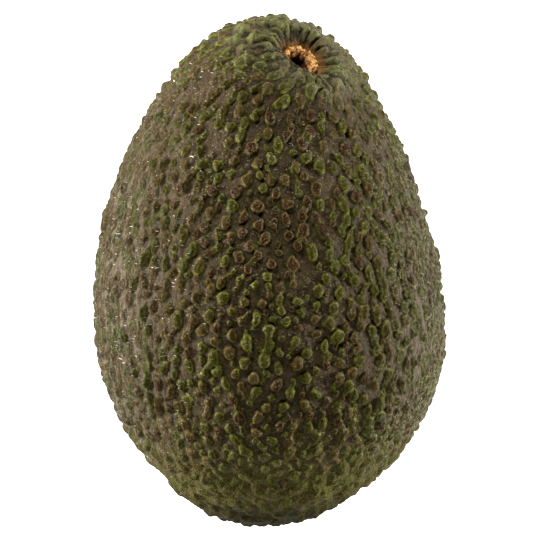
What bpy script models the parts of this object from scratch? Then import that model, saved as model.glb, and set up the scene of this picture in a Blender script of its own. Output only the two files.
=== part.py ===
"""A whole avocado, as picked, lying on its side: one closed solid.

The fruit is shaped in the frame that it grew in, with its stem end up (+Z). It is then laid down with its
stem end towards -Y and rests on a small flat spot under its centre of mass. Metres, +Z up, with the origin
on the floor under the middle of the fruit.
"""

import math

import bmesh
import bpy
from mathutils import Matrix, Vector

# The fruit's outline
LENGTH = 0.104  # from the blossom end to the top of the shoulders
GIRTH = 0.0696  # width halfway along; the widest section is a little nearer the blossom end
TAPER = 0.22  # how much slimmer the stem half is
SLIMMING = 0.078  # how much both ends are slimmer than an ellipsoid's
SHOULDER = 0.1665  # how much the stem end's shoulders fill out again
SWAY = 0.0006  # sideways swing of the middle line, which makes a slight S

# The stem scar, off the tip of the fruit, on its shoulder
SCAR_TILT = math.radians(27.5)  # from the long axis
SCAR_TURN = math.radians(120.5)  # round the long axis, from +X
FUNNEL_RADIUS = 0.0070  # shallow hollow that the scar sits in
FUNNEL_DEPTH = 0.0013
RIM_RADIUS = 0.0031  # corky ring left by the stem button
RIM_WIDTH = 0.0009
RIM_HEIGHT = 0.0006
PIT_RADIUS = 0.0022  # dry pit inside the ring
PIT_DEPTH = 0.0022
PUCKERS = 18  # ridges that run out from the scar
PUCKER_HEIGHT = 0.0004
PUCKER_RADIUS = 0.0080  # where the ridges stand highest
PUCKER_REACH = 0.0035

# The lying pose
DIP = math.radians(11)  # the slim stem end hangs lower, where the fruit balances
FLAT_DEPTH = 0.0006  # the cap that is missing under the fruit

# The mesh
SEGMENTS = 4 * PUCKERS
RINGS = 44
FIRST_RING = 0.034  # angle of the innermost ring round the scar
RING_CROWDING = 1.5  # how much closer the rings are near the scar


def on_outline(direction):
    """Point of the fruit's smooth outline for a unit direction, whose z runs from -1 to 1 along it."""
    c = direction.z
    half_width = 0.5 * GIRTH * (1 - TAPER * c - SLIMMING * c**2 + SHOULDER * c**3)
    sway = SWAY * math.sin(math.pi * (c + 0.1) / 0.9)
    return Vector((half_width * direction.x + sway, half_width * direction.y, 0.5 * LENGTH * c))


def direction_round_scar(angle, turn):
    """Unit direction at an angle from the scar; the scar's tilt fades out towards the blossom end."""
    base = Vector((math.sin(angle) * math.cos(turn), math.sin(angle) * math.sin(turn), math.cos(angle)))
    hinge = Vector((-math.sin(SCAR_TURN), math.cos(SCAR_TURN), 0))
    tilt = SCAR_TILT * 0.5 * (1 + math.cos(angle))
    return Matrix.Rotation(tilt, 3, hinge) @ base


def stem_relief(distance, turn):
    """Height of the funnel, corky rim, pit and puckers at a distance from the scar's middle."""
    height = -FUNNEL_DEPTH * math.exp(-((distance / FUNNEL_RADIUS) ** 2))
    height += RIM_HEIGHT * math.exp(-(((distance - RIM_RADIUS) / RIM_WIDTH) ** 2))
    if distance < PIT_RADIUS:
        height -= PIT_DEPTH * (1 - (distance / PIT_RADIUS) ** 2)
    window = math.exp(-(((distance - PUCKER_RADIUS) / PUCKER_REACH) ** 2))
    return height + PUCKER_HEIGHT * window * math.cos(PUCKERS * turn)


def ring_angles():
    """Angles of the rings from the scar to just short of the blossom end."""
    span = math.pi - FIRST_RING
    return [FIRST_RING + span * (ring / RINGS) ** RING_CROWDING for ring in range(RINGS)]


def outline_mesh():
    """Closed mesh of the smooth outline, its rings centred on the scar, with each vertex's turn."""
    mesh = bmesh.new()
    turns = [2 * math.pi * segment / SEGMENTS for segment in range(SEGMENTS)]
    vertex_turns = {}
    rings = []
    for angle in ring_angles():
        ring = []
        for turn in turns:
            vertex = mesh.verts.new(on_outline(direction_round_scar(angle, turn)))
            vertex_turns[vertex] = turn
            ring.append(vertex)
        rings.append(ring)
    scar = mesh.verts.new(on_outline(direction_round_scar(0, 0)))
    blossom_end = mesh.verts.new(on_outline(direction_round_scar(math.pi, 0)))
    for here in range(SEGMENTS):
        after = (here + 1) % SEGMENTS
        mesh.faces.new((scar, rings[0][here], rings[0][after]))
        mesh.faces.new((blossom_end, rings[-1][after], rings[-1][here]))
        for upper, lower in zip(rings, rings[1:]):
            mesh.faces.new((upper[here], lower[here], lower[after], upper[after]))
    return mesh, scar, vertex_turns


def carve_stem_end(mesh, scar, vertex_turns):
    """Raise and sink the surface round the scar, along its own normals."""
    mesh.normal_update()
    middle = scar.co.copy()
    moves = {scar: stem_relief(0, 0)}
    for vertex, turn in vertex_turns.items():
        moves[vertex] = stem_relief((vertex.co - middle).length, turn)
    normals = {vertex: vertex.normal.copy() for vertex in moves}
    for vertex, height in moves.items():
        vertex.co += height * normals[vertex]


def cut_flat_spot(mesh, lying):
    """Take a thin cap off the underside, which leaves the flat that the fruit rests on."""
    down = lying.inverted() @ Vector((0, 0, -1))
    lowest = max(vertex.co.dot(down) for vertex in mesh.verts)
    everything = mesh.verts[:] + mesh.edges[:] + mesh.faces[:]
    cut = bmesh.ops.bisect_plane(
        mesh, geom=everything, plane_co=(lowest - FLAT_DEPTH) * down, plane_no=down, clear_outer=True
    )
    rim = [piece for piece in cut["geom_cut"] if isinstance(piece, bmesh.types.BMEdge)]
    bmesh.ops.contextual_create(mesh, geom=rim)
    bmesh.ops.triangulate(mesh, faces=mesh.faces[:])
    bmesh.ops.recalc_face_normals(mesh, faces=mesh.faces[:])


def skin_material():
    """Dark olive, slightly waxy skin."""
    material = bpy.data.materials.new("avocado_skin")
    material.use_nodes = True
    shader = material.node_tree.nodes["Principled BSDF"]
    shader.inputs["Base Color"].default_value = (0.075, 0.062, 0.022, 1)
    shader.inputs["Roughness"].default_value = 0.42
    shader.inputs["Metallic"].default_value = 0.0
    return material


def add_avocado():
    """Make the fruit, lay it down and centre it on the origin."""
    lying = Matrix.Rotation(math.radians(90) + DIP, 3, "X")
    shape, scar, vertex_turns = outline_mesh()
    carve_stem_end(shape, scar, vertex_turns)
    cut_flat_spot(shape, lying)
    mesh = bpy.data.meshes.new("avocado")
    shape.to_mesh(mesh)
    shape.free()
    mesh.shade_smooth()
    mesh.set_sharp_from_angle(angle=math.radians(40))
    mesh.materials.append(skin_material())

    fruit = bpy.data.objects.new("avocado", mesh)
    bpy.context.scene.collection.objects.link(fruit)
    laid = [lying @ vertex.co for vertex in mesh.vertices]
    low = [min(point[axis] for point in laid) for axis in range(3)]
    high = [max(point[axis] for point in laid) for axis in range(3)]
    fruit.rotation_euler = lying.to_euler()
    fruit.location = (-(low[0] + high[0]) / 2, -(low[1] + high[1]) / 2, -low[2])
    return fruit


for leftover in list(bpy.data.objects):
    bpy.data.objects.remove(leftover, do_unlink=True)
add_avocado()
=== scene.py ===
"""The looks of a whole avocado lying on its side: pebbled skin, a puckered stem end and a corky scar.

The skin is one closed mesh. It starts from the same outline formula as the CAD solid, and its bumps,
puckers and scar are real geometry. Lengths are in metres, in the CAD model's frame: stem end towards -Y,
+Z up. Until it is laid down, the fruit is described in the frame that it grew in, stem end towards +Z.
"""

import itertools
import math

import bpy
import numpy as np
from mathutils import Matrix, Vector


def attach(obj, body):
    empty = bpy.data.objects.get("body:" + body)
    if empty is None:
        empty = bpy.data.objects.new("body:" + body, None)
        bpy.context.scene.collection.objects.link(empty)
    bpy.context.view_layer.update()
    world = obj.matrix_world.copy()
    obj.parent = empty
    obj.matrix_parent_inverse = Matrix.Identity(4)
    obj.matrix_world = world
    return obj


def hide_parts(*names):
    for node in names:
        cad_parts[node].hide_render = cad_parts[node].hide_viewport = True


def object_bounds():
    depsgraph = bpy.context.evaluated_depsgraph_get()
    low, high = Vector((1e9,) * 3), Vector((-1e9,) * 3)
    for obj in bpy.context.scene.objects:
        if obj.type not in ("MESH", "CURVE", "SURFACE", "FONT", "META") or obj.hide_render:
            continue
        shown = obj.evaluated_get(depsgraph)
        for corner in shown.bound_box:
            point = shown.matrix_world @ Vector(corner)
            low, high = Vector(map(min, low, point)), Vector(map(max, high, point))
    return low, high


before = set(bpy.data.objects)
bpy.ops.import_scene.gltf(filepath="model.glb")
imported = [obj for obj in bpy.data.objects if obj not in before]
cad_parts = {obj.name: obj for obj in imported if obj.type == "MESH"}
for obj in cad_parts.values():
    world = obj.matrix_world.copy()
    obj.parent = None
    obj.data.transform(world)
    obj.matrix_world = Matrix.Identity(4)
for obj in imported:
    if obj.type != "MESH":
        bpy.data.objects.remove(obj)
cad_low, cad_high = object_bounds()

SEED = 41
NOISE_TABLE = 512
rng = np.random.default_rng(SEED)
SHUFFLE = rng.permutation(NOISE_TABLE)
SLOPES = rng.normal(size=(NOISE_TABLE, 3))

# The CAD model's outline
LENGTH = 0.104  # from the blossom end to the top of the shoulders
GIRTH = 0.0696  # width halfway along; the widest section is a little nearer the blossom end
TAPER = 0.22  # how much slimmer the stem half is
SLIMMING = 0.078  # how much both ends are slimmer than an ellipsoid's
SHOULDER = 0.1665  # how much the stem end's shoulders fill out again
SWAY = 0.0006  # sideways swing of the middle line, which makes a slight S
SWAY_MIDDLE = -0.1  # where the S crosses over, and how far its halves reach, over half the length
SWAY_SPAN = 0.9
SCAR_TILT = math.radians(27.5)  # from the long axis
SCAR_TURN = math.radians(120.5)  # round the long axis, from +X
DIP = math.radians(11)  # how far the stem end hangs lower than level
FLAT_DEPTH = 0.0006  # the cap that is missing under the fruit

# The skin's mesh
AROUND = 192  # quads along each of the four sides of a section
ALONG = 272  # quads from the scar's patch to the blossom end's patch
CROWDING = 0.45  # how much closer the quads are at the scar
CROWDING_REACH = 0.62  # radians from the scar
MAP_MARGIN = 0.008

# Regions of the skin, each with the place where it starts and the place where it is complete
STREAKY_SIDE = (0.006, 0.030)  # across the fruit: drawn-out pebbles and streaks
CHAINED_SIDE = (-0.004, -0.022)  # across the fruit: more pebbles joined into chains
SHEEN_FLANKS = (0.015, 0.034)  # across the fruit, both ways: a painted sheen on the sides that face the side lamps
FINE_END = (-0.018, -0.044)  # along the fruit: low, soft pebbles
SHADED_TIP = (-0.0405, -0.0475)  # along the fruit: painted shade at the blossom tip

# Pebbles
PEBBLE_PASSES = (  # half width, pitch and tries, from the widest to the smallest
    (0.00110, 0.0028, 9000),
    (0.00088, 0.0022, 14000),
    (0.00060, 0.0016, 20000),
    (0.00042, 0.0012, 6000),
)
PEBBLE_ROOM = 16000  # more than the pebbles that find a place
PEBBLE_HEIGHT = 0.00112
TYPICAL_WIDTH = 0.00100  # half width of a pebble that stands about PEBBLE_HEIGHT high
SIZES = (0.82, 1.22)  # range of a pebble's size, over its pass's half width
STRETCHES = (0.95, 1.6)  # range of its length over its width
HEIGHTS = (0.65, 1.15)  # range of its height over the usual one for its width
STREAKY_STRETCH = 0.35  # how much longer on the streaky side, and at the stem end
STEM_STRETCH = 0.3
STEM_PLACE = 0.006  # where that is most, from the scar's middle
STEM_SPREAD = 0.008
STREAKY_LOWERING = 0.25  # how much lower on the streaky side, and at the blossom end
FINE_LOWERING = 0.6
STREAKY_NARROWING = 0.15  # how much narrower on the streaky side
STEM_RISE = (0.006, 0.013)  # pebbles reach their full height this far from the scar's middle
SLANT = 0.28  # spread of the angle between a pebble and the fruit's length
CLOSER_ALONG = 0.35  # how much more a gap along the fruit counts, squared, than one round it
PATCHES = (0.006, 21)  # feature size and seed of the noise that thins the pebbles out
GROUND_DEPTH = 0.00090  # how far under the outline the ground lies; half as far at both ends
DOME_POWER = 2.6  # 2 is a parabola, more is flatter on top
OUT_OF_ROUND = (0.08, 0.05)  # how far a pebble's edge is pulled into an oval and a rounded triangle
DENT = 0.08  # how deep a pebble's top is dented, over its height
CORKY_DENT = 0.16  # how much deeper in a corky one
DENT_EDGE = (0.62, 0.20)  # where it starts and is complete, over the pebble's half width
MERGING = 4.0  # how sharply neighbouring pebbles stay apart
REACH = 1.6  # how far round a pebble the ground still shows it, in pebble radii
FRAY = ((0.00028, 0.0015, 11), (0.00010, 0.0007, 14))  # noise layers that roughen a pebble's edge
LINKED_SHARE = 0.10  # share of the neighbours along the fruit that a saddle joins
CHAINED_SHARE = 0.14  # how much greater that is on the chained side
LINKED_GAP = 0.0040  # between the middles of pebbles that a saddle can join
SADDLE_LENGTH = 0.54  # a saddle's half length over that gap
SADDLE_WIDTH = 0.80  # over the smaller pebble's
SADDLE_HEIGHT = 0.78
BALD_SPOTS = (  # turn in degrees, height
    (115, 0.0234),
    (104, 0.0065),
    (66, 0.0306),
    (250, 0.010),
    (320, -0.012),
)
BALD_RADIUS = 0.0030
CORKY_SPOTS = (  # turn in degrees, height
    (97, 0.0175),
    (103, 0.0129),
    (109, 0.0326),
    (82, 0.0139),
    (106, -0.0237),
    (240, 0.0),
    (300, 0.02),
)
CORKY_RADIUS = 0.0075
CORKY_CHANCE = 0.05  # that a pebble's top is corky anywhere, and how much greater it is at a spot
CORKY_SPOT_CHANCE = 0.5
CORKINESS = (0.6, 1)  # range of how much of such a top has turned to cork

# The ground between the pebbles, as noise layers: height, feature size, seed
LUMPS = ((0.00045, 0.014, 1), (0.00022, 0.0045, 2))
BLOSSOM_LUMPS = ((0.00062, 0.0034, 6),)
GRAIN = ((0.00012, 0.0009, 4), (0.00006, 0.0005, 5))
FURROWS = (0.0012, 3)  # feature size and seed
FURROW_DEPTH = 0.00014
FURROW_STRETCH = 5.0
STREAKY_FURROWS = 1.6  # how much deeper on the streaky side
STEM_GRAIN = 1.5  # how much deeper the grain is near the scar
STEM_GRAIN_REACH = (0.016, 0.008)  # distances from the scar's middle

# The stem end
FUNNEL_DEPTH = 0.0022
FUNNEL_START = 0.0034  # where the funnel is deepest and where it ends, from the scar's middle
FUNNEL_END = 0.0078
PEBBLE_FREE = 0.0074  # pebbles keep this far from the scar's middle
SCAR_RADIUS = 0.0041
SCAR_EDGE = 0.0003
SCAR_SHAPE = (0.0022, 33)  # feature size and seed
CRUMBS = ((0.00030, 0.0007, 35), (0.00018, 0.00035, 36))  # noise layers
RIM_START = (0.0022, 0.0030)  # where the corky rim rises, from the scar's middle
RIM_HEIGHT = 0.0004
PIT_RADIUS = 0.0027
PIT_DEPTH = 0.0026
PIT_SHAPE = (0.0012, 34)  # feature size and seed
PIT_SHIFT = 0.0006  # the pit lies this far from the scar's middle, towards the lip
LIP_TURN = math.radians(64)  # the side where the skin folds over the scar
LIP_CUT = 0.45  # the share of the scar's radius that the lip takes there
LIP_HEIGHT = 0.0015
LIP_PLACE = 0.0049  # its crest, from the scar's middle
LIP_WIDTH = 0.0012
LIP_SHAPE = (0.0018, 37)  # feature size and seed
PUCKERS = 22  # ridges that run out from the scar
PUCKER_START = (0.0042, 0.0074)  # where the ridges rise, from the scar's middle
PUCKER_WAVES = ((2, 0.5, 1.4), (3, 1.0, 1.2), (5, 2.1, 1.0))  # waves per turn, phase and swing
PUCKER_SWAY = ((2.8, 0.0036, 31), (0.8, 0.0015, 38))  # noise layers that swing the ridges too
PUCKER_CHUNKS = (0.0022, 32)  # feature size and seed
PUCKER_POWER = 0.7  # 1 is a half sine, less is blunter
RIDGE_REACH = 0.0104
RIDGE_SPREAD = 0.0085  # how much further the ridges run towards RIDGE_TURN
RIDGE_TURN = math.radians(-5)
PUCKER_HEIGHT = 0.0016


def unit(vectors):
    """The vectors at length one."""
    return vectors / np.maximum(np.linalg.norm(vectors, axis=-1, keepdims=True), 1e-12)


def smooth(low, high, value):
    """0 at low, 1 at high, and a smooth step between."""
    t = np.clip((value - low) / (high - low), 0, 1)
    return t * t * (3 - 2 * t)


# ---------------------------------------------------------------- the outline


def outline(directions):
    """Points and normals of the fruit's smooth outline for unit directions."""
    x, y, c = directions.T
    half_width = 0.5 * GIRTH * (1 - TAPER * c - SLIMMING * c**2 + SHOULDER * c**3)
    slope = 0.5 * GIRTH * (-TAPER - 2 * SLIMMING * c + 3 * SHOULDER * c**2)
    sway = SWAY * np.sin(math.pi * (c - SWAY_MIDDLE) / SWAY_SPAN)
    points = np.stack((half_width * x + sway, half_width * y, 0.5 * LENGTH * c), axis=1)
    lean = (half_width**2 * c - half_width * slope * (1 - c**2)) / (0.5 * LENGTH)
    normals = unit(np.stack((half_width * x, half_width * y, lean), axis=1))
    return points, normals


def round_scar(angles, turns):
    """Unit directions at angles from the scar, whose tilt fades out towards the blossom end."""
    base = np.stack(
        (np.sin(angles) * np.cos(turns), np.sin(angles) * np.sin(turns), np.cos(angles)), axis=1
    )
    hinge = np.array((-math.sin(SCAR_TURN), math.cos(SCAR_TURN), 0.0))
    tilt = (SCAR_TILT * 0.5 * (1 + np.cos(angles)))[:, None]
    along_hinge = (base @ hinge)[:, None] * hinge
    turned = base * np.cos(tilt) + np.cross(hinge, base) * np.sin(tilt)
    return turned + along_hinge * (1 - np.cos(tilt))


def near_spot(points, spot, radius):
    """1 at a spot given by its turn in degrees and its height, falling off within a radius."""
    turn, height = math.radians(spot[0]), spot[1]
    c = height / (0.5 * LENGTH)
    around = math.sqrt(1 - c**2)
    place = outline(np.array([[around * math.cos(turn), around * math.sin(turn), c]]))[0][0]
    return np.exp(-np.sum((points - place) ** 2, axis=1) / radius**2)


def to_world(points):
    """The points of the fruit laid down, before it is moved to its place on the floor."""
    lying = np.array(Matrix.Rotation(math.radians(90) + DIP, 3, "X"))
    return points @ lying.T


# ---------------------------------------------------------------- the quads


def chart_place(chart, across, up):
    """Where a side of the box lies in the map: three columns and two rows, with a margin."""
    column, row = chart % 3, chart // 3
    u = (column + MAP_MARGIN * 3 + across * (1 - MAP_MARGIN * 6)) / 3
    v = (row + MAP_MARGIN * 2 + up * (1 - MAP_MARGIN * 4)) / 2
    return np.stack((u, v), axis=-1)


def lattice():
    """Points of a box's surface as whole-number triples, its quads, and the quads' places in the map."""
    sizes = (AROUND, AROUND, ALONG)
    corners = []
    quads = []
    places = []
    count = 0
    for chart, (axis, side) in enumerate((axis, side) for axis in range(3) for side in (0, 1)):
        first, second = [other for other in range(3) if other != axis]
        rows, columns = sizes[first] + 1, sizes[second] + 1
        grid = np.zeros((rows, columns, 3), dtype=np.int64)
        grid[..., first] = np.arange(rows)[:, None]
        grid[..., second] = np.arange(columns)[None, :]
        grid[..., axis] = sizes[axis] * side
        index = count + np.arange(rows * columns).reshape(rows, columns)
        ring = [index[:-1, :-1], index[1:, :-1], index[1:, 1:], index[:-1, 1:]]
        outward = (side == 1) == (axis != 1)
        quads.append(np.stack(ring if outward else ring[::-1], axis=-1).reshape(-1, 4))
        corners.append(grid.reshape(-1, 3))
        across = np.linspace(0, 1, rows)[:, None] + np.zeros((1, columns))
        up = np.linspace(0, 1, columns)[None, :] + np.zeros((rows, 1))
        places.append(chart_place(chart, across, up).reshape(-1, 2))
        count += rows * columns
    shared, members = np.unique(np.concatenate(corners), axis=0, return_inverse=True)
    quads = np.concatenate(quads)
    return shared, members.reshape(-1)[quads], np.concatenate(places)[quads]


def skin_directions(shared):
    """Angle from the scar and turn round it for each lattice point, closer together at the scar."""
    halves = np.array((AROUND, AROUND, ALONG)) / 2
    base = unit(np.tan(math.pi / 4 * (shared / halves - 1)))
    angles = np.arccos(np.clip(base[:, 2], -1, 1))
    turns = np.arctan2(base[:, 1], base[:, 0])
    angles = angles * (1 - CROWDING * np.exp(-((angles / CROWDING_REACH) ** 2)))
    return angles, turns


# ---------------------------------------------------------------- the relief


def skin_noise(points, size, seed, stretch=1.0):
    """Soft gradient noise, about -1 to 1, with features of the given size, stretched along the fruit."""
    scaled = points / np.array((size, size, size * stretch)) + seed * np.array((3.7, 1.3, 2.9))
    corner = np.floor(scaled).astype(np.int64)
    part = scaled - corner
    fade = part**3 * (part * (part * 6 - 15) + 10)
    total = np.zeros(len(points))
    for shift in itertools.product((0, 1), repeat=3):
        x, y, z = (corner + shift).T
        entry = SHUFFLE[x % NOISE_TABLE]
        entry = SHUFFLE[(entry + y) % NOISE_TABLE]
        entry = SHUFFLE[(entry + z) % NOISE_TABLE]
        weight = np.prod(np.where(shift, fade, 1 - fade), axis=1)
        total += weight * np.sum(SLOPES[entry] * (part - shift), axis=1)
    return np.clip(1.15 * total, -1, 1)


def layered_noise(points, layers, later=0):
    """The sum of noise layers, each given by its height, feature size and seed."""
    return sum(height * skin_noise(points, size, seed + later) for height, size, seed in layers)


def tangents(angles, turns, normals):
    """Unit vectors along the skin: away from the scar, and round it."""
    step = 0.01
    ahead = outline(round_scar(angles + step, turns))[0]
    behind = outline(round_scar(angles - step, turns))[0]
    away = ahead - behind
    away -= np.sum(away * normals, axis=1, keepdims=True) * normals
    away = unit(away)
    return away, np.cross(normals, away)


class Skin:
    """The bare skin's points and directions, and how far each point belongs to the skin's regions.

    distance is from the scar's middle, and squeezed is the same with the scar's lip side cut short.
    ridged, streaky, chained, flank, fine and tip run from 0 to 1. The bumps are measured on the warped
    points, which frays their edges.
    """

    CELL = 0.0025

    def __init__(self, shared):
        self.angles, self.turns = skin_directions(shared)
        self.points, self.normals = outline(round_scar(self.angles, self.turns))
        self.away, self.sideways = tangents(self.angles, self.turns, self.normals)
        self.scar = outline(round_scar(np.zeros(1), np.zeros(1)))[0][0]
        self.distance = np.linalg.norm(self.points - self.scar, axis=1)
        self.toward_lip = np.clip(np.cos(self.turns - LIP_TURN), 0, 1)
        self.squeezed = self.distance / (1 - LIP_CUT * self.toward_lip)
        reach = RIDGE_REACH + RIDGE_SPREAD * np.clip(np.cos(self.turns - RIDGE_TURN), 0, 1) ** 2
        self.ridged = smooth(1.25, 0.60, self.distance / reach) * (1 - 0.85 * self.toward_lip**1.5)
        self.streaky = smooth(*STREAKY_SIDE, self.points[:, 0])
        self.chained = smooth(*CHAINED_SIDE, self.points[:, 0])
        # Where painted sheen lightens the flanks that face the side lamps
        self.sheen_flank = smooth(*SHEEN_FLANKS, np.abs(self.points[:, 0]))
        self.fine = smooth(*FINE_END, self.points[:, 2])
        # Where painted shade darkens the blossom tip
        self.tip_shade = smooth(*SHADED_TIP, self.points[:, 2])
        fray = [layered_noise(self.points, FRAY, later=axis) for axis in range(3)]
        self.warped = self.points + np.stack(fray, axis=1)
        self.cells = self.sorted_into_cells()

    def sorted_into_cells(self):
        """Indices of the warped points in each cell that has any, by the cell's whole-number place."""
        keys = np.floor(self.warped / self.CELL).astype(np.int64)
        order = np.lexsort(keys.T)
        ordered = keys[order]
        changes = np.flatnonzero(np.any(np.diff(ordered, axis=0) != 0, axis=1)) + 1
        return {tuple(keys[group[0]]): group for group in np.split(order, changes)}

    def within(self, centre, limit):
        """Indices of the warped points that are nearer to a centre than a limit."""
        low = np.floor((centre - limit) / self.CELL).astype(np.int64)
        high = np.floor((centre + limit) / self.CELL).astype(np.int64)
        groups = [
            self.cells[x, y, z]
            for x in range(low[0], high[0] + 1)
            for y in range(low[1], high[1] + 1)
            for z in range(low[2], high[2] + 1)
            if (x, y, z) in self.cells
        ]
        near = np.concatenate(groups)
        return near[np.sum((self.warped[near] - centre) ** 2, axis=1) < limit**2]


def scatter_pebbles(skin):
    """Skin points where pebbles sit, with each one's half width. Wide ones take their place first."""
    chosen = np.zeros((PEBBLE_ROOM, 3))
    pitches = np.zeros(PEBBLE_ROOM)
    places = []
    widths = []
    patchy = skin_noise(skin.points, *PATCHES)
    bald = sum(near_spot(skin.points, spot, BALD_RADIUS) for spot in BALD_SPOTS)
    for half_width, pitch, tries in PEBBLE_PASSES:
        for index in rng.integers(0, len(skin.points), tries):
            grow = rng.uniform(*SIZES)
            drawn = rng.uniform()
            bare = bald[index] > 0.45 or patchy[index] > 0.25 + 0.6 * drawn
            if skin.squeezed[index] < PEBBLE_FREE or skin.ridged[index] > 0.6 or bare:
                continue
            own_pitch = pitch * grow * (1 - 0.12 * skin.fine[index])
            count = len(places)
            gaps = chosen[:count] - skin.points[index]
            along = gaps @ skin.away[index]
            squared = np.sum(gaps**2, axis=1) + CLOSER_ALONG * along**2
            if np.any(squared < (0.5 * (pitches[:count] + own_pitch)) ** 2):
                continue
            chosen[count] = skin.points[index]
            pitches[count] = own_pitch
            places.append(index)
            wider = 1 + 0.02 * skin.fine[index] + 0.05 * skin.chained[index]
            widths.append(half_width * grow * wider)
    return np.array(places), np.array(widths)


def describe_pebbles(skin, places, widths):
    """Each pebble's place, axes, half length, half width, height, tone and corkiness."""
    count = len(places)
    streaky = skin.streaky[places]
    near_stem = np.exp(-(((skin.distance[places] - STEM_PLACE) / STEM_SPREAD) ** 2))
    stretch = rng.uniform(*STRETCHES, count) + STREAKY_STRETCH * streaky + STEM_STRETCH * near_stem
    heights = PEBBLE_HEIGHT * (widths / TYPICAL_WIDTH) ** 0.6 * rng.uniform(*HEIGHTS, count)
    heights *= 1 - STREAKY_LOWERING * streaky
    heights *= 0.45 + 0.55 * smooth(*STEM_RISE, skin.squeezed[places])
    heights *= 1 - FINE_LOWERING * skin.fine[places]
    near_corky = sum(near_spot(skin.points[places], spot, CORKY_RADIUS) for spot in CORKY_SPOTS)
    chance = CORKY_CHANCE + CORKY_SPOT_CHANCE * near_corky
    corks = (rng.uniform(0, 1, count) < chance) * rng.uniform(*CORKINESS, count)
    slant = rng.normal(0, SLANT, count)[:, None]
    axes = skin.away[places] * np.cos(slant) + skin.sideways[places] * np.sin(slant)
    return {
        "centre": skin.points[places],
        "axis": axes,
        "side": np.cross(skin.normals[places], axes),
        "length": widths * stretch,
        "width": widths * (1 - STREAKY_NARROWING * streaky),
        "height": heights,
        "tone": rng.uniform(0, 1, count),
        "cork": corks,
        "phase": rng.uniform(0, 2 * math.pi, (count, 2)),
    }


def describe_saddles(skin, places, pebbles):
    """Low saddles that join some pebbles to their neighbours along the fruit, into chains."""
    rows = {key: [] for key in pebbles}
    for i, place in enumerate(places):
        gaps = pebbles["centre"] - pebbles["centre"][i]
        size = np.linalg.norm(gaps, axis=1)
        along = gaps @ skin.away[place]
        joined = np.flatnonzero((size > 1e-6) & (size < LINKED_GAP) & (along > 0.75 * size))
        share = LINKED_SHARE + CHAINED_SHARE * skin.chained[place]
        for j in joined[rng.uniform(0, 1, len(joined)) < share][:1]:
            axis = unit(gaps[j])
            rows["centre"].append((pebbles["centre"][i] + pebbles["centre"][j]) / 2)
            rows["axis"].append(axis)
            rows["side"].append(unit(np.cross(skin.normals[place], axis)))
            rows["length"].append(SADDLE_LENGTH * size[j])
            rows["width"].append(SADDLE_WIDTH * min(pebbles["width"][i], pebbles["width"][j]))
            rows["height"].append(SADDLE_HEIGHT * min(pebbles["height"][i], pebbles["height"][j]))
            rows["tone"].append((pebbles["tone"][i] + pebbles["tone"][j]) / 2)
            rows["cork"].append(0.0)
            rows["phase"].append(pebbles["phase"][i])
    return {key: np.array(values) for key, values in rows.items()}


def pile_up(skin, bumps):
    """What the bumps make: relief to a power, in pebble heights, tone, cork, and place across a bump.

    The place across a bump, ring, is 0 at its middle, 1 at its foot and up to REACH outside it.
    """
    power = np.zeros(len(skin.points))
    tone = np.zeros(len(skin.points))
    cork = np.zeros(len(skin.points))
    ring = np.full(len(skin.points), REACH)
    oval, triangle = OUT_OF_ROUND
    for i in range(len(bumps["centre"])):
        length, width = bumps["length"][i], bumps["width"][i]
        near = skin.within(bumps["centre"][i], REACH * max(length, width))
        offset = skin.warped[near] - bumps["centre"][i]
        along = offset @ bumps["axis"][i] / length
        across = offset @ bumps["side"][i] / width
        bearing = np.arctan2(across, along)
        first, second = bumps["phase"][i]
        edge = 1 + oval * np.cos(2 * bearing + first) + triangle * np.cos(3 * bearing + second)
        rho = np.hypot(along, across) / edge
        dent = DENT + CORKY_DENT * bumps["cork"][i]
        dome = np.clip(1 - rho**DOME_POWER, 0, 1) - dent * smooth(*DENT_EDGE, rho)
        weight = (bumps["height"][i] * np.clip(dome, 0, 1) / PEBBLE_HEIGHT) ** MERGING
        power[near] += weight
        tone[near] += weight * bumps["tone"][i]
        cork[near] += weight * bumps["cork"][i]
        ring[near] = np.minimum(ring[near], rho)
    share = np.maximum(power, 1e-9)
    bare = power < 1e-9
    return power, np.where(bare, 0.5, tone / share), np.where(bare, 0, cork / share), ring


def puckers(skin):
    """Ridges that run out from the scar, in pebble heights."""
    turns = skin.turns
    wobble = sum(swing * np.sin(waves * turns + phase) for waves, phase, swing in PUCKER_WAVES)
    wobble += layered_noise(skin.points, PUCKER_SWAY)
    ridge = np.abs(np.sin(0.5 * (PUCKERS * turns + wobble)))
    window = smooth(*PUCKER_START, skin.squeezed) * skin.ridged
    chunky = 0.85 + 0.75 * skin_noise(skin.points, *PUCKER_CHUNKS)
    return ridge**PUCKER_POWER * window * chunky * PUCKER_HEIGHT / PEBBLE_HEIGHT


def stem_profile(skin):
    """Height of the funnel, lip, corky rim and pit, and masks of the scar and of the pit."""
    reach = skin.squeezed * (1 + 0.10 * skin_noise(skin.points, *SCAR_SHAPE))
    height = -FUNNEL_DEPTH * smooth(FUNNEL_END, FUNNEL_START, reach)
    lip = skin.toward_lip**1.5 * (1 + 0.25 * skin_noise(skin.points, *LIP_SHAPE))
    height += LIP_HEIGHT * lip * np.exp(-(((reach - LIP_PLACE) / LIP_WIDTH) ** 2))
    scar = smooth(SCAR_RADIUS + SCAR_EDGE, SCAR_RADIUS - SCAR_EDGE, reach)
    x = skin.distance * np.cos(skin.turns) - PIT_SHIFT * math.cos(LIP_TURN)
    y = skin.distance * np.sin(skin.turns) - PIT_SHIFT * math.sin(LIP_TURN)
    pit_reach = np.hypot(x, y) * (1 + 0.16 * skin_noise(skin.points, *PIT_SHAPE))
    pit = smooth(PIT_RADIUS + 0.0003, PIT_RADIUS - 0.0005, pit_reach)
    height += scar * (layered_noise(skin.points, CRUMBS) + RIM_HEIGHT * smooth(*RIM_START, reach))
    height -= PIT_DEPTH * pit
    return height, scar, pit


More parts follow.
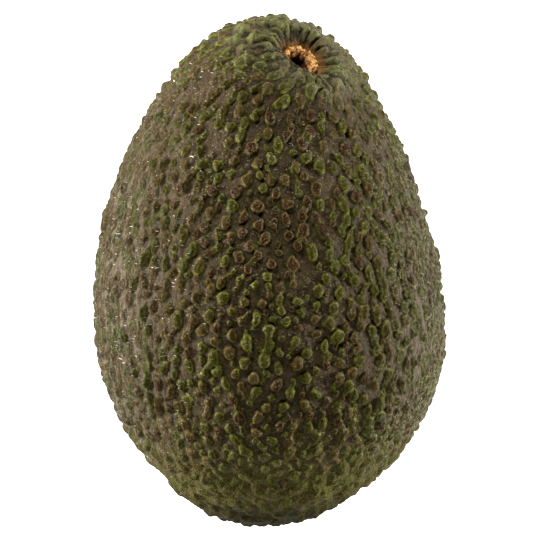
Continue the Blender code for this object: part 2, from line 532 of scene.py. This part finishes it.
def relief_and_fields(skin):
    """The skin's height over the outline, and the values that the material reads at each point."""
    places, widths = scatter_pebbles(skin)
    pebbles = describe_pebbles(skin, places, widths)
    saddles = describe_saddles(skin, places, pebbles)
    bumps = {key: np.concatenate((pebbles[key], saddles[key])) for key in pebbles}
    power, tone, cork, ring = pile_up(skin, bumps)
    ridges = np.clip(puckers(skin), 0, None)
    ring = np.minimum(ring, 1.30 - 0.32 * smooth(0.2, 1.0, ridges))
    profile, scar, pit = stem_profile(skin)
    relief = (power + ridges**MERGING) ** (1 / MERGING) * (1 - scar)

    lumps = layered_noise(skin.points, LUMPS) + skin.fine * layered_noise(skin.points, BLOSSOM_LUMPS)
    furrows = FURROW_DEPTH * skin_noise(skin.points, *FURROWS, stretch=FURROW_STRETCH)
    furrows *= 1 + STREAKY_FURROWS * skin.streaky
    grain = layered_noise(skin.points, GRAIN)
    grain *= 1 + STEM_GRAIN * smooth(*STEM_GRAIN_REACH, skin.squeezed)
    ground = GROUND_DEPTH * (1 - 0.5 * scar - 0.5 * skin.fine)
    height = PEBBLE_HEIGHT * relief - ground + (lumps + furrows + grain) * (1 - scar) + profile
    fields = {
        "ring": ring,
        "ridge": smooth(0.30, 1.1, ridges),
        "tone": tone,
        "cork": cork,
        "scar": scar,
        "pit": pit,
        "from_scar": skin.squeezed,
        "streaky": skin.streaky,
        "fine": skin.fine,
        # where painted sheen lightens the flanks
        "sheen_flank": skin.sheen_flank,
        # where painted shade darkens the blossom tip
        "tip_shade": skin.tip_shade,
    }
    return height, fields


def lay_down(skin, height):
    """The skin's points as it lies on the floor, and where the fruit's own middle comes to be."""
    bare = to_world(skin.points)
    low, high = bare.min(0), bare.max(0)
    middle = (np.array(cad_low) + np.array(cad_high)) / 2 - (low + high) / 2
    middle[2] = cad_low[2] - FLAT_DEPTH - low[2]
    placed = to_world(skin.points + skin.normals * height[:, None]) + middle
    placed[:, 2] = np.maximum(placed[:, 2], cad_low[2])
    return placed, Vector(middle)


def build_skin():
    """The fruit's skin as a mesh on the floor, with the attributes that the material reads."""
    shared, quads, places_in_map = lattice()
    skin = Skin(shared)
    height, fields = relief_and_fields(skin)
    placed, middle = lay_down(skin, height)
    mesh = bpy.data.meshes.new("avocado_skin")
    mesh.from_pydata(placed, [], quads)
    layer = mesh.uv_layers.new(name="OFBake")
    layer.data.foreach_set("uv", places_in_map.reshape(-1).astype(np.float32))
    for name, values in fields.items():
        attribute = mesh.attributes.new(name, "FLOAT", "POINT")
        attribute.data.foreach_set("value", values.astype(np.float32))
    mesh.shade_smooth()
    fruit = bpy.data.objects.new("avocado_skin", mesh)
    bpy.context.scene.collection.objects.link(fruit)
    return fruit, middle


# ---------------------------------------------------------------- the material


class Graph:
    """Short names for the few kinds of shader node that the skin and the surround use."""

    def __init__(self, tree, coordinates):
        self.tree = tree
        self.place = self.add("TexCoord").outputs[coordinates]

    def add(self, kind):
        """A new node of a kind."""
        return self.tree.nodes.new("ShaderNode" + kind)

    def put(self, socket, value):
        """Links a socket to an output, or sets its value; a colour gets full opacity."""
        if isinstance(value, bpy.types.NodeSocket):
            self.tree.links.new(value, socket)
        elif isinstance(value, tuple) and len(value) == 3 and len(socket.default_value) == 4:
            socket.default_value = (*value, 1)
        else:
            socket.default_value = value

    def field(self, name):
        """The values that the mesh gives at its points under a name."""
        node = self.add("Attribute")
        node.attribute_name = name
        return node.outputs["Fac"]

    def math(self, operation, *values):
        """The result of one operation on the values."""
        node = self.add("Math")
        node.operation = operation
        for socket, value in zip(node.inputs, values):
            self.put(socket, value)
        return node.outputs["Value"]

    def product(self, first, *others):
        """All the values multiplied together."""
        for other in others:
            first = self.math("MULTIPLY", first, other)
        return first

    def frayed(self, value, noise, amount):
        """The value, pushed up and down by a noise."""
        return self.math("MULTIPLY_ADD", self.math("SUBTRACT", noise, 0.5), amount, value)

    def step(self, value, low, high, start=0.0, end=1.0):
        """The start at low, the end at high, and a smooth step between. Low may be the greater one."""
        node = self.add("MapRange")
        node.interpolation_type = "SMOOTHSTEP"
        sockets = ("Value", "From Min", "From Max", "To Min", "To Max")
        for name, number in zip(sockets, (value, low, high, start, end)):
            self.put(node.inputs[name], number)
        return node.outputs["Result"]

    def mix(self, amount, first, second):
        """The first colour at 0 and the second at 1."""
        node = self.add("Mix")
        node.data_type = "RGBA"
        self.put(node.inputs["Factor"], amount)
        self.put(node.inputs[6], first)
        self.put(node.inputs[7], second)
        return node.outputs[2]

    def noise(self, size, detail=2.0, rough=0.5, scale=(1, 1, 1)):
        """Noise with features of a size in metres; a scale under 1 draws them out along its axis."""
        mapping = self.add("Mapping")
        self.put(mapping.inputs["Vector"], self.place)
        mapping.inputs["Scale"].default_value = scale
        node = self.add("TexNoise")
        self.put(node.inputs["Vector"], mapping.outputs["Vector"])
        node.inputs["Scale"].default_value = 1 / size
        node.inputs["Detail"].default_value = detail
        node.inputs["Roughness"].default_value = rough
        return node.outputs["Fac"]

    def cracks(self, size):
        """Distance to the nearest crack, in a net of cells of a size in metres."""
        node = self.add("TexVoronoi")
        node.feature = "DISTANCE_TO_EDGE"
        self.put(node.inputs["Vector"], self.place)
        node.inputs["Scale"].default_value = 1 / size
        return node.outputs["Distance"]

    def bump(self, height, distance):
        """The normal of a relief whose height of 1 stands for a distance in metres."""
        node = self.add("Bump")
        self.put(node.inputs["Height"], height)
        node.inputs["Distance"].default_value = distance
        node.inputs["Strength"].default_value = 1.0
        return node.outputs["Normal"]


# Colours, as linear values
GROUND = (0.046, 0.029, 0.0145)
GROUND_DARK = (0.027, 0.016, 0.005)
GROUND_PALE = (0.088, 0.060, 0.033)
GROUND_OLIVE = (0.040, 0.032, 0.0045)
# Painted sheen on the flanks, on the ground
PAINTED_GROUND_SHEEN = (0.125, 0.097, 0.066)
# Painted shade round the pebbles' feet; also the colour of dark specks and pores
PAINTED_SHADE_AND_SPECK = (0.013, 0.010, 0.002)
SIDE_GREEN = (0.020, 0.0205, 0.0013)
SIDE_BROWN = (0.028, 0.017, 0.0030)
# Painted highlight rings on the pebbles' shoulders
HIGHLIGHT_RIM_GREEN = (0.093, 0.085, 0.010)
HIGHLIGHT_RIM_BROWN = (0.088, 0.060, 0.015)
# Painted sheen on the pebbles' rims on the flanks
PAINTED_RIM_SHEEN = (0.150, 0.134, 0.086)
TOP_GREEN = (0.023, 0.022, 0.0012)
TOP_BROWN = (0.027, 0.016, 0.0026)
CORK_DARK = (0.012, 0.0045, 0.0018)
CORK_LIGHT = (0.070, 0.026, 0.006)
CORK_EDGE = (0.100, 0.066, 0.020)
STEM_GREY = (0.088, 0.078, 0.044)
RIDGE_GREEN = (0.084, 0.088, 0.022)
RIDGE_BROWN = (0.084, 0.058, 0.022)
# Painted shade in the valleys between the stem end's ridges
VALLEY_SHADE = (0.012, 0.010, 0.003)
# Painted glints: white dashes and pale specks
GLINT_DASH = (0.54, 0.50, 0.43)
GLINT_SPECK = (0.17, 0.145, 0.075)
OLIVE_SPECK = (0.080, 0.075, 0.016)
# Painted shade at the blossom tip
TIP_SHADE = (0.011, 0.008, 0.0015)
STAIN = (0.115, 0.052, 0.012)
SCAR_LIGHT = (0.45, 0.25, 0.085)
SCAR_DARK = (0.10, 0.034, 0.008)
PIT_DARK = (0.025, 0.007, 0.003)

# Where a pebble's parts begin and are complete, on its ring: 0 at its middle and 1 at its foot.
# FOOT_SHADE is painted shade round the foot, and the rim a painted highlight ring
FOOT_SHADE = (1.5, 1.05)
SIDE = (1.08, 0.94)
HIGHLIGHT_RIM = (0.93, 0.79)
TOP = (0.74, 0.54)

BROWNISH = (0.60, 0.86)  # tones from green to brown
CRACK_NET = 0.00066  # cell size of the net of cracks in a corky top

# Distances from the scar's middle where these begin and are complete
WAXY = (0.020, 0.008)
# painted shade in the valleys between the ridges
SHADED_VALLEYS = (0.0125, 0.0075)
STAINED = (0.0062, 0.0044)

ROUGHNESS = (0.26, 0.42)  # of a pebble's top and of the ground
BLOSSOM_ROUGHNESS = 0.75
SCAR_ROUGHNESS = 0.85
BUMP_DEPTH = 0.00042
SPECULAR = 0.045


class SkinGraph(Graph):
    """The skin's shader nodes: the mesh's fields, and the noises that colour and relief share."""

    def __init__(self, tree):
        super().__init__(tree, "Object")
        self.mottle = self.noise(0.0045, detail=3.0, rough=0.6)
        self.grain = self.noise(0.0007, detail=3.0, rough=0.65)
        self.fine = self.noise(0.00030, detail=2.0, rough=0.6)
        self.broad = self.noise(0.013)
        self.streaks = self.noise(0.0006, detail=3.0, rough=0.7, scale=(1, 0.18, 1))
        self.streaky = self.field("streaky")
        self.soft = self.field("fine")
        self.from_scar = self.field("from_scar")
        self.ridge = self.field("ridge")
        self.ring = self.frayed(self.field("ring"), self.grain, 0.45)
        # Where painted sheen lightens the flanks, broken up by grain
        self.sheen_flank = self.product(self.field("sheen_flank"), self.step(self.grain, 0.30, 0.65, start=0.55))
        self.corky = self.step(self.frayed(self.field("cork"), self.fine, 0.5), 0.30, 0.50)
        self.crack = self.step(self.cracks(CRACK_NET), 0.02, 0.09)


def ground_colour(graph):
    """Taupe ground with pale streaks and dark specks, olive at the blossom end, with painted sheen on
    the flanks and painted shade round the pebbles' feet.
    """
    ground = graph.mix(graph.step(graph.mottle, 0.35, 0.65), GROUND_DARK, GROUND)
    paler = graph.step(graph.streaks, 0.40, 0.62)
    paler = graph.product(paler, graph.step(graph.streaky, 0.0, 1.0, start=0.15, end=0.85))
    ground = graph.mix(paler, ground, GROUND_PALE)
    # Dark specks, in the colour of the painted shade
    ground = graph.mix(graph.step(graph.fine, 0.46, 0.30, end=0.55), ground, PAINTED_SHADE_AND_SPECK)
    ground = graph.mix(graph.step(graph.fine, 0.56, 0.70, end=0.50), ground, GROUND_PALE)
    ground = graph.mix(graph.product(graph.soft, 0.8), ground, GROUND_OLIVE)
    # Painted sheen on the ground on the flanks
    ground = graph.mix(graph.product(graph.sheen_flank, 0.75), ground, PAINTED_GROUND_SHEEN)
    # Painted shade in the ground round each pebble's foot, weaker at the blossom end
    foot = graph.step(graph.ring, *FOOT_SHADE, end=0.75)
    foot = graph.product(foot, graph.step(graph.soft, 0.0, 1.0, start=1.0, end=0.45))
    return graph.mix(foot, ground, PAINTED_SHADE_AND_SPECK)


def add_pebble_colours(graph, colour):
    """Green and brown pebbles with broken, pale rims of painted highlight, a pale edge round corky tops,
    and cracked corky tops on some.
    """
    tone = graph.math("MULTIPLY_ADD", graph.field("tone"), 0.7, graph.product(graph.mottle, 0.5))
    tone = graph.math("MULTIPLY_ADD", graph.streaky, 0.22, tone)
    brownish = graph.step(tone, *BROWNISH)
    side = graph.mix(brownish, SIDE_GREEN, SIDE_BROWN)
    # The rim is a painted highlight ring round each pebble's shoulder; on corky tops it takes a pale
    # cork edge instead
    rim = graph.mix(brownish, HIGHLIGHT_RIM_GREEN, HIGHLIGHT_RIM_BROWN)
    rim = graph.mix(graph.corky, rim, CORK_EDGE)
    # Painted sheen on the rims on the flanks
    rim = graph.mix(graph.product(graph.sheen_flank, 0.65), rim, PAINTED_RIM_SHEEN)
    top = graph.mix(brownish, TOP_GREEN, TOP_BROWN)
    top = graph.mix(graph.corky, top, graph.mix(graph.crack, CORK_LIGHT, CORK_DARK))
    patches = graph.noise(0.0011, detail=3.0, rough=0.6)
    # Where the painted highlight ring shows, in broken patches; weaker on the streaky side and at the
    # blossom end
    rims = graph.product(graph.step(graph.ring, *HIGHLIGHT_RIM), graph.step(patches, 0.36, 0.60, start=0.30))
    softer = graph.math("MAXIMUM", graph.soft, graph.streaky)
    rims = graph.product(rims, graph.step(softer, 0.2, 1.0, start=1.0, end=0.35))
    colour = graph.mix(graph.step(graph.ring, *SIDE), colour, side)
    colour = graph.mix(rims, colour, rim)
    return graph.mix(graph.step(graph.ring, *TOP), colour, top)


def add_stem_colours(graph, colour):
    """Waxy grey round the stem end, and green and brown ridges with painted shade in the valleys between
    them.
    """
    waxy = graph.product(
        graph.step(graph.from_scar, *WAXY),
        graph.step(graph.mottle, 0.3, 0.6, start=0.25, end=0.75),
        graph.step(graph.fine, 0.35, 0.60, start=0.35),
        graph.step(graph.ring, 1.25, 0.70, start=0.65),
    )
    colour = graph.mix(waxy, colour, STEM_GREY)
    # Painted shade in the valleys between the ridges
    valley_shade = graph.product(
        graph.step(graph.ring, 0.95, 1.15),
        graph.step(graph.ridge, 0.5, 0.0),
        graph.step(graph.from_scar, *SHADED_VALLEYS, end=0.8),
    )
    colour = graph.mix(valley_shade, colour, VALLEY_SHADE)
    crest = graph.mix(graph.step(graph.mottle, 0.50, 0.70), RIDGE_GREEN, RIDGE_BROWN)
    crest_share = graph.product(graph.ridge, graph.step(graph.grain, 0.30, 0.62, start=0.15, end=0.85))
    return graph.mix(crest_share, colour, crest)


def add_specks(graph, colour):
    """Painted glints as short white dashes and pale specks, and olive specks towards the blossom end."""
    # Painted glints: short white dashes, mostly on the streaky side
    dashes = graph.noise(0.0009, detail=1.0, scale=(0.65, 5.5, 0.65))
    dash_share = graph.step(graph.math("ADD", graph.streaky, graph.broad), 0.5, 0.9, start=0.1)
    colour = graph.mix(graph.product(graph.step(dashes, 0.742, 0.765), dash_share), colour, GLINT_DASH)
    # Painted glints: pale specks
    specks = graph.noise(0.00042, detail=1.0, scale=(0.8, 1.6, 1))
    speck_share = graph.step(graph.broad, 0.35, 0.65, start=0.25, end=0.8)
    colour = graph.mix(graph.product(graph.step(specks, 0.64, 0.72), speck_share), colour, GLINT_SPECK)
    olive = graph.step(graph.soft, 0.2, 0.9, end=0.75)
    olive = graph.product(graph.step(graph.fine, 0.50, 0.62), olive)
    return graph.mix(olive, colour, OLIVE_SPECK)


def add_scar_colours(graph, colour):
    """The brown stain round the scar, its crumbly orange-brown cork, and the dark pit."""
    stain = graph.step(graph.frayed(graph.from_scar, graph.grain, 0.0022), *STAINED, end=0.75)
    colour = graph.mix(stain, colour, STAIN)
    crumbs = graph.frayed(graph.fine, graph.noise(0.0010), 0.9)
    cork = graph.mix(graph.step(crumbs, 0.36, 0.62), SCAR_DARK, SCAR_LIGHT)
    colour = graph.mix(graph.step(graph.field("scar"), 0.35, 0.65), colour, cork)
    return graph.mix(graph.step(graph.field("pit"), 0.15, 0.55), colour, PIT_DARK)


def skin_colour(graph):
    """All the skin's colours, from the ground up."""
    colour = add_pebble_colours(graph, ground_colour(graph))
    pores = graph.step(graph.noise(0.00026, detail=1.0), 0.48, 0.30, end=0.65)
    colour = graph.mix(pores, colour, PAINTED_SHADE_AND_SPECK)
    colour = add_specks(graph, add_stem_colours(graph, colour))
    # Painted shade at the blossom tip
    colour = graph.mix(graph.step(graph.field("tip_shade"), 0.0, 1.0, end=0.75), colour, TIP_SHADE)
    return add_scar_colours(graph, colour)


def skin_roughness(graph):
    """Glossier pebbles, duller ground, and a dull scar and blossom end."""
    rough = graph.frayed(graph.step(graph.ring, 0.75, 1.15, *ROUGHNESS), graph.grain, 0.25)
    rough = graph.math("MAXIMUM", rough, graph.product(graph.field("scar"), SCAR_ROUGHNESS))
    return graph.math("MAXIMUM", rough, graph.product(graph.soft, BLOSSOM_ROUGHNESS))


def skin_relief(graph):
    """What is too fine for the mesh: wrinkles, pores, streaks and the cracks in corky tops."""
    wrinkle = graph.noise(0.0010, detail=3.0, rough=0.7, scale=(1, 0.4, 1))
    relief = graph.math("MULTIPLY_ADD", graph.grain, 0.6, wrinkle)
    relief = graph.math("MULTIPLY_ADD", graph.fine, 0.45, relief)
    relief = graph.math("ADD", graph.product(graph.streaks, graph.streaky), relief)
    relief = graph.math("MULTIPLY_ADD", graph.product(graph.crack, graph.corky), -0.8, relief)
    return graph.product(relief, graph.step(graph.ring, 0.6, 1.1, start=0.75))


def skin_material():
    """Olive pebbles with painted highlight rims on a taupe ground, corky tops, and an orange-brown corky
    scar.
    """
    material = bpy.data.materials.new("avocado_skin")
    material.use_nodes = True
    graph = SkinGraph(material.node_tree)
    shader = material.node_tree.nodes["Principled BSDF"]
    graph.put(shader.inputs["Base Color"], skin_colour(graph))
    graph.put(shader.inputs["Roughness"], skin_roughness(graph))
    graph.put(shader.inputs["Normal"], graph.bump(skin_relief(graph), BUMP_DEPTH))
    shader.inputs["Specular IOR Level"].default_value = SPECULAR
    return material


# ---------------------------------------------------------------- the studio

VIEW_TILT = math.radians(12)  # the stem end leans this far towards the camera
CAMERA_DISTANCE = 0.6
FRAME_HEIGHT = 0.1081  # what the camera sees at the fruit's middle
SENSOR_MM = 36
AIM_UP = 0.0005  # how far the picture's middle lies above the fruit's
AIM_ASIDE = 0.0004  # and beside it, towards -X
FLOOR_HALF = 3.0
FLOOR_GAP = 0.0002
FLOOR_WHITE = (0.90, 0.90, 0.90, 1)
FLOOR_GLOW = 0.8
SOFTBOX = (0.30, 0.14)
SOFTBOX_AIM = Vector((0, 0, 0.03))
SOFTBOXES = (  # name, place, power in watts
    ("left_softbox", (1.0, 0.0, 0.13), 36.5),
    ("right_softbox", (-1.0, 0.0, 0.13), 29.0),
    ("stem_softbox", (0.32, -0.95, 0.19), 18.5),
    ("blossom_softbox", (0.0, 0.60, 0.82), 8.0),
)
SURROUND = (0.45, 0.01)  # strength near the horizon and overhead
SURROUND_RISE = (0.02, 0.40)  # heights between which it fades, on a unit sphere
SURROUND_TURN = (0.1, 0.9)  # distances towards +Y between which it is shaded, on a unit sphere
SURROUND_SHADE = 0.1  # what is left of it beyond the blossom end


def add_camera(middle):
    """A long lens above the fruit, turned so that the stem end is at the top of the picture."""
    data = bpy.data.cameras.new("camera")
    data.sensor_width = SENSOR_MM
    data.lens = SENSOR_MM * CAMERA_DISTANCE / FRAME_HEIGHT
    data.clip_start = 0.01
    camera = bpy.data.objects.new("camera", data)
    lean = DIP + VIEW_TILT
    picture_up = Vector((0, -math.cos(lean), -math.sin(lean)))
    back = Vector((0, -math.sin(lean), math.cos(lean)))
    aim = middle + AIM_UP * picture_up - Vector((AIM_ASIDE, 0, 0))
    camera.location = aim + CAMERA_DISTANCE * back
    camera.rotation_euler = (-lean, 0, math.pi)
    bpy.context.scene.collection.objects.link(camera)
    bpy.context.scene.camera = camera


def add_floor():
    """A plain white floor that gives off a little light of its own."""
    mesh = bpy.data.meshes.new("floor")
    signs = ((-1, -1), (1, -1), (1, 1), (-1, 1))
    corners = [(x * FLOOR_HALF, y * FLOOR_HALF, -FLOOR_GAP) for x, y in signs]
    mesh.from_pydata(corners, [], [(0, 1, 2, 3)])
    material = bpy.data.materials.new("floor")
    material.use_nodes = True
    shader = material.node_tree.nodes["Principled BSDF"]
    shader.inputs["Base Color"].default_value = FLOOR_WHITE
    shader.inputs["Roughness"].default_value = 0.9
    shader.inputs["Specular IOR Level"].default_value = 0.1
    shader.inputs["Emission Color"].default_value = (1, 1, 1, 1)
    shader.inputs["Emission Strength"].default_value = FLOOR_GLOW
    mesh.materials.append(material)
    floor = bpy.data.objects.new("floor", mesh)
    bpy.context.scene.collection.objects.link(floor)


def add_softbox(name, place, power):
    """A wide lamp that faces the fruit."""
    data = bpy.data.lights.new(name, "AREA")
    data.shape = "RECTANGLE"
    data.size, data.size_y = SOFTBOX
    data.energy = power
    lamp = bpy.data.objects.new(name, data)
    lamp.location = place
    lamp.rotation_euler = (Vector(place) - SOFTBOX_AIM).to_track_quat("Z", "Y").to_euler()
    lamp.visible_camera = False
    bpy.context.scene.collection.objects.link(lamp)


def add_surround():
    """A pale surround that is dimmer overhead and beyond the blossom end."""
    world = bpy.data.worlds.new("studio")
    world.use_nodes = True
    graph = Graph(world.node_tree, "Generated")
    direction = graph.add("SeparateXYZ")
    graph.put(direction.inputs[0], graph.place)
    fade = graph.step(direction.outputs["Z"], *SURROUND_RISE, *SURROUND)
    shade = graph.step(direction.outputs["Y"], *SURROUND_TURN, start=1.0, end=SURROUND_SHADE)
    background = world.node_tree.nodes["Background"]
    graph.put(background.inputs["Strength"], graph.product(fade, shade))
    background.inputs["Color"].default_value = (1, 1, 1, 1)
    bpy.context.scene.world = world


fruit, fruit_middle = build_skin()
fruit.data.materials.append(skin_material())
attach(fruit, "root")
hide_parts("avocado")
add_camera(fruit_middle)
add_floor()
for softbox in SOFTBOXES:
    add_softbox(*softbox)
add_surround()
bpy.context.scene.view_settings.view_transform = "Standard"
